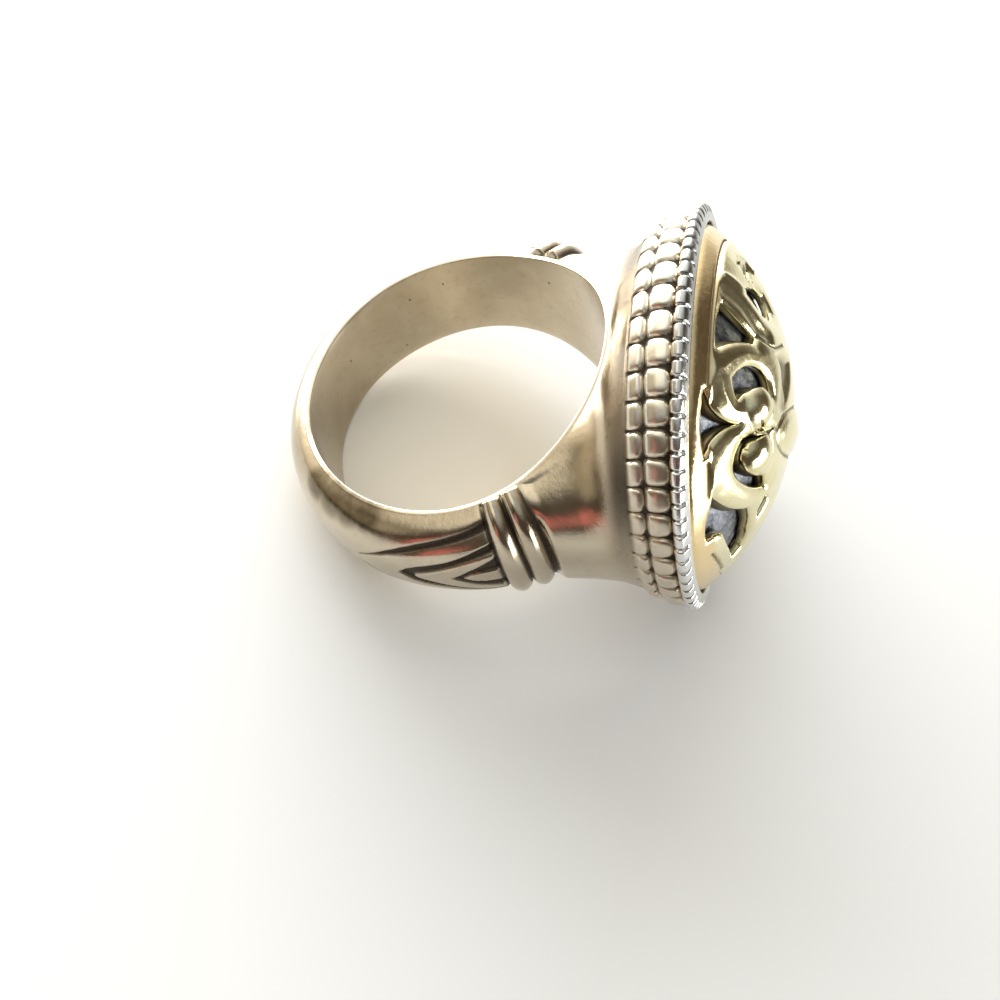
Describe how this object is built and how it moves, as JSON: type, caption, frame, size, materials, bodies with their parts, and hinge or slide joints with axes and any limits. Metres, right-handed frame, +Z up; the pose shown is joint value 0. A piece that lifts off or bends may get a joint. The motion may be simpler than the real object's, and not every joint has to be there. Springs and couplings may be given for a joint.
{
  "type": "ring",
  "caption": "Two-tone dress ring lying on its side: a silver band with double wires on the shoulders, a flared round head edged with scales and beads, and a pierced scrollwork dome in gold.",
  "frame": {"origin": "on the surface the ring lies on, at the middle of its length and width", "axes": "+Z up from that surface; +X along the ring's length, from the back of the band towards the domed head; +Y across. The finger hole's axis is tilted 20.63 degrees back from +Z, as the ring lies."},
  "size_m": [0.028, 0.022, 0.0206],
  "materials": {
    "silver": "polished silver, lightly worn, with dark oxidised grooves",
    "dark_silver": "oxidised silver, mottled blue-grey",
    "gold": "polished yellow gold with soft bright edges"
  },
  "bodies": {
    "root": {"silver_ring": "silver", "dark_plate": "dark_silver", "gold_dome": "gold"}
  },
  "joints": []
}
